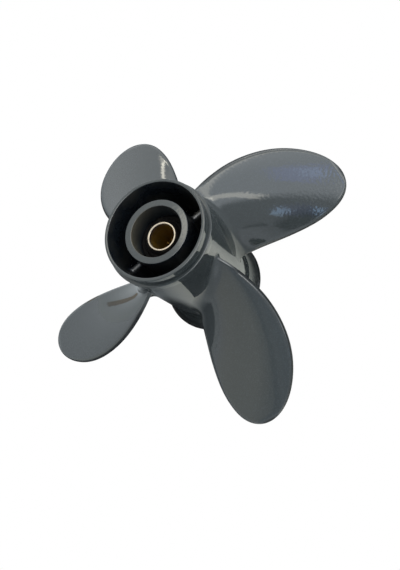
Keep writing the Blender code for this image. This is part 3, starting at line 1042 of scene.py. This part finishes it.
def soft_oval(tree, coords, place, size, azimuth, cover):
    """Mask of a soft oval on the table: its cover in the middle, 0 outside it."""
    moved = node(
        tree,
        "Mapping",
        {"vector_type": "TEXTURE"},
        Vector=coords,
        Location=(*place, 0.0),
        Rotation=(0.0, 0.0, math.radians(azimuth)),
        Scale=(*size, 1.0),
    )
    oval = node(tree, "TexGradient", {"gradient_type": "SPHERICAL"}, Vector=moved.outputs["Vector"])
    mask = node(
        tree,
        "MapRange",
        {"interpolation_type": "SMOOTHSTEP"},
        Value=oval.outputs["Fac"],
        From_Max=0.6,
        To_Max=cover,
    )
    return mask.outputs["Result"]


def studio_table(colours):
    """Pale table with a painted pool of light on the lamps' side, a painted shadow on the other side,
    painted light at the far end and a painted contact shadow under the flare.
    """
    material, tree, shader, coords = new_material("pale table", Roughness=0.8)
    # Middle and half sizes in metres, turn in degrees, cover and colour
    ovals = (
        # Painted pool of light on the lamps' side
        ((0.17, -0.08), (0.28, 0.28), 0, 1.0, colours.painted_light_pool),
        # Painted shadow on the side away from the lamps
        ((-0.29, -0.12), (0.32, 0.14), 10, 1.0, colours.cloth),
        # Painted light at the far end
        ((-2.2, 1.4), (2.6, 1.6), 148, 0.12, colours.painted_light_pool),
        # Painted contact shadow under the flare
        ((-0.036, -0.04), (0.042, 0.042), 0, 1.0, colours.painted_deep_shade),
    )
    tint = linear(colours.table)
    for place, size, azimuth, cover, code in ovals:
        mask = soft_oval(tree, coords, place, size, azimuth, cover)
        tint = mixed(tree, mask, tint, linear(code))
    wire(tree, shader, Base_Color=tint)
    return material


def painted_shadow_bar(bm):
    """A flat tapered bar on the table, a painted shadow that darkens a line in one blade's reflection.
    """
    bmesh.ops.create_cube(bm, size=1.0)
    narrow_end = [v for v in bm.verts if v.co.x < 0]
    bmesh.ops.scale(bm, verts=narrow_end, vec=(1.0, BAR_TAPER, 1.0))
    bmesh.ops.scale(bm, verts=bm.verts, vec=BAR_SIZE)
    place = Matrix.Translation(BAR_PLACE) @ Matrix.Rotation(BAR_TURN, 4, "Z")
    bmesh.ops.transform(bm, matrix=place, verts=bm.verts)


def white_backdrop():
    """Pure white light, as a lit paper roll looks when it is exposed for the object."""
    material = bpy.data.materials.new("white backdrop")
    material.use_nodes = True
    tree = material.node_tree
    glow = node(tree, "Emission", Color=(1, 1, 1, 1), Strength=1.0)
    wire(tree, tree.nodes["Material Output"], Surface=glow.outputs["Emission"])
    return material


def photo_camera():
    """Camera at the photo's place and angle."""
    data = bpy.data.cameras.new("camera")
    data.lens = LENS_MM
    data.sensor_width = SENSOR_MM
    camera = bpy.data.objects.new("camera", data)
    up = CAMERA_BACK.cross(CAMERA_RIGHT).normalized()
    right = up.cross(CAMERA_BACK)
    turned = Matrix((right, up, CAMERA_BACK)).transposed().to_4x4()
    camera.matrix_world = Matrix.Translation(CAMERA_PLACE) @ turned
    bpy.context.scene.collection.objects.link(camera)
    return camera


class PROPELLER_OT_stage(bpy.types.Operator):
    """Set up the pale floor, the white backdrop, the soft light and the camera"""

    bl_idname = "propeller.stage"
    bl_label = "Stage"

    def execute(self, context):
        scene = context.scene
        scene.view_settings.view_transform = "Standard"
        scene.world = studio_dome(scene.propeller_light)
        colours = scene.propeller_colours
        floor = stage_object(
            "floor",
            lambda bm: bmesh.ops.create_circle(bm, cap_ends=True, segments=64, radius=FLOOR_RADIUS),
            studio_table(colours),
        )
        # Painted shadow: a dark strip on the table, seen only in reflections
        shadow_strip_material = new_material("dark painted shadow strip", Roughness=0.7, Base_Color=linear(colours.painted_shadow_strip))[0]
        painted_shadow_strip = stage_object("painted_shadow_strip", painted_shadow_bar, shadow_strip_material)
        # The camera sees the backdrop all round, and the part mirrors the table and the dome
        floor.visible_camera = False
        painted_shadow_strip.visible_camera = False
        backdrop = stage_object(
            "backdrop",
            lambda bm: bmesh.ops.create_uvsphere(
                bm, u_segments=32, v_segments=16, radius=BACKDROP_RADIUS
            ),
            white_backdrop(),
        )
        backdrop.visible_diffuse = False
        backdrop.visible_glossy = False
        backdrop.visible_transmission = False
        backdrop.visible_shadow = False
        scene.camera = photo_camera()
        return {"FINISHED"}


class PROPELLER_PT_panel(bpy.types.Panel):
    """Lists the propeller's operators"""

    bl_idname = "PROPELLER_PT_panel"
    bl_label = "Propeller"
    bl_space_type = "VIEW_3D"
    bl_region_type = "UI"
    bl_category = "Propeller"

    def draw(self, context):
        for operator in STEPS:
            self.layout.operator(operator.bl_idname)


GROUPS = {
    "propeller_barrel": BarrelSizes,
    "propeller_hub": InnerHubSizes,
    "propeller_blades": BladeSizes,
    "propeller_bush": BushSizes,
    "propeller_sleeve": SleeveSizes,
    "propeller_colours": FinishColours,
    "propeller_light": StudioLight,
}
STEPS = (PROPELLER_OT_casting, PROPELLER_OT_bush, PROPELLER_OT_sleeve, PROPELLER_OT_stage)


def register():
    for kind in (*GROUPS.values(), *STEPS, PROPELLER_PT_panel):
        bpy.utils.register_class(kind)
    for name, kind in GROUPS.items():
        setattr(bpy.types.Scene, name, bpy.props.PointerProperty(type=kind))


def unregister():
    for name in GROUPS:
        delattr(bpy.types.Scene, name)
    for kind in (PROPELLER_PT_panel, *STEPS[::-1], *GROUPS.values()):
        bpy.utils.unregister_class(kind)


def main():
    register()
    bpy.ops.propeller.casting()
    bpy.ops.propeller.bush()
    bpy.ops.propeller.sleeve()
    bpy.ops.propeller.stage()


if __name__ == "__main__":
    main()
